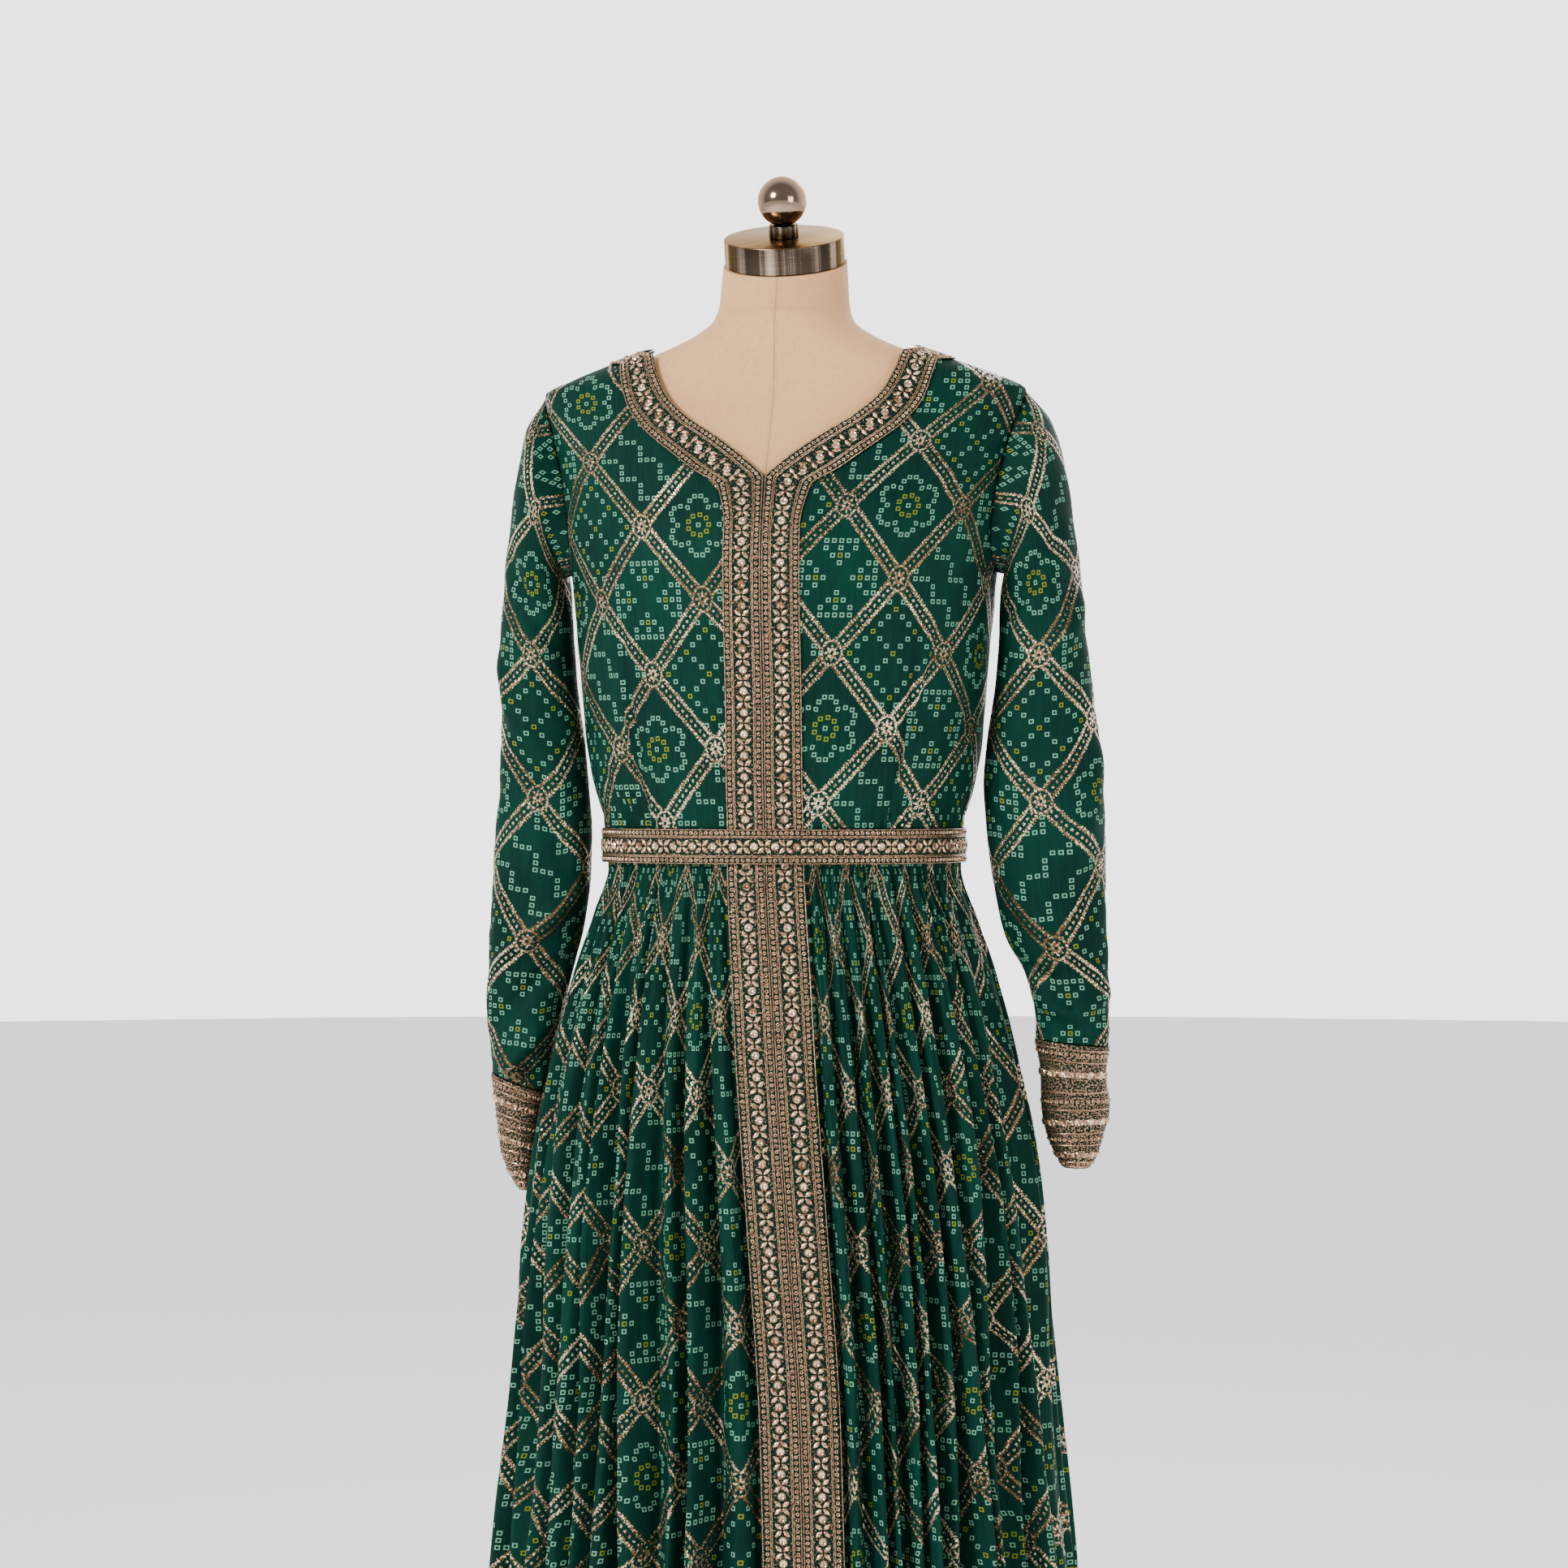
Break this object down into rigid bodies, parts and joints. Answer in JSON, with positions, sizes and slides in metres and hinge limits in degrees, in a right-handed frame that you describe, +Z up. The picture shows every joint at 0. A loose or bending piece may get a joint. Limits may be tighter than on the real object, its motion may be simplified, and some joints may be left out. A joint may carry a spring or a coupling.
{
  "type": "anarkali gown on a dress form",
  "caption": "Long-sleeved, floor-length green anarkali gown with embroidered borders and belt, worn by a limbless linen dress form with a steel neck cap and ball finial, on a pole and round base.",
  "frame": {"origin": "middle of the bounding box on the floor, at the underside of the stand's base", "axes": "+Z up, the gown's front faces -Y, +X is the wearer's left"},
  "size_m": [0.5433, 0.4885, 1.5583],
  "materials": {
    "green_cloth": "crinkled georgette, printed and gathered",
    "zari_trim": "rose-gold thread, sequins and beads on green cloth",
    "linen": "plain beige linen, tightly stretched",
    "brushed_steel": "brushed and polished, warm tint",
    "painted_stand": "satin charcoal paint"
  },
  "bodies": {
    "root": {"bodice_front_left": "green_cloth", "bodice_front_right": "green_cloth", "bodice_back": "green_cloth", "bodice_border_left": "zari_trim", "bodice_border_right": "zari_trim", "sleeve_left": "green_cloth", "sleeve_right": "green_cloth", "cuff_left": "zari_trim", "cuff_right": "zari_trim", "belt": "zari_trim", "skirt_front_left": "green_cloth", "skirt_front_right": "green_cloth", "skirt_back": "green_cloth", "skirt_border_left": "zari_trim", "skirt_border_right": "zari_trim", "form_torso": "linen", "neck_cap": "brushed_steel", "finial_collar": "brushed_steel", "finial_ball": "brushed_steel", "stand_pole": "painted_stand", "stand_base": "painted_stand"}
  },
  "joints": []
}
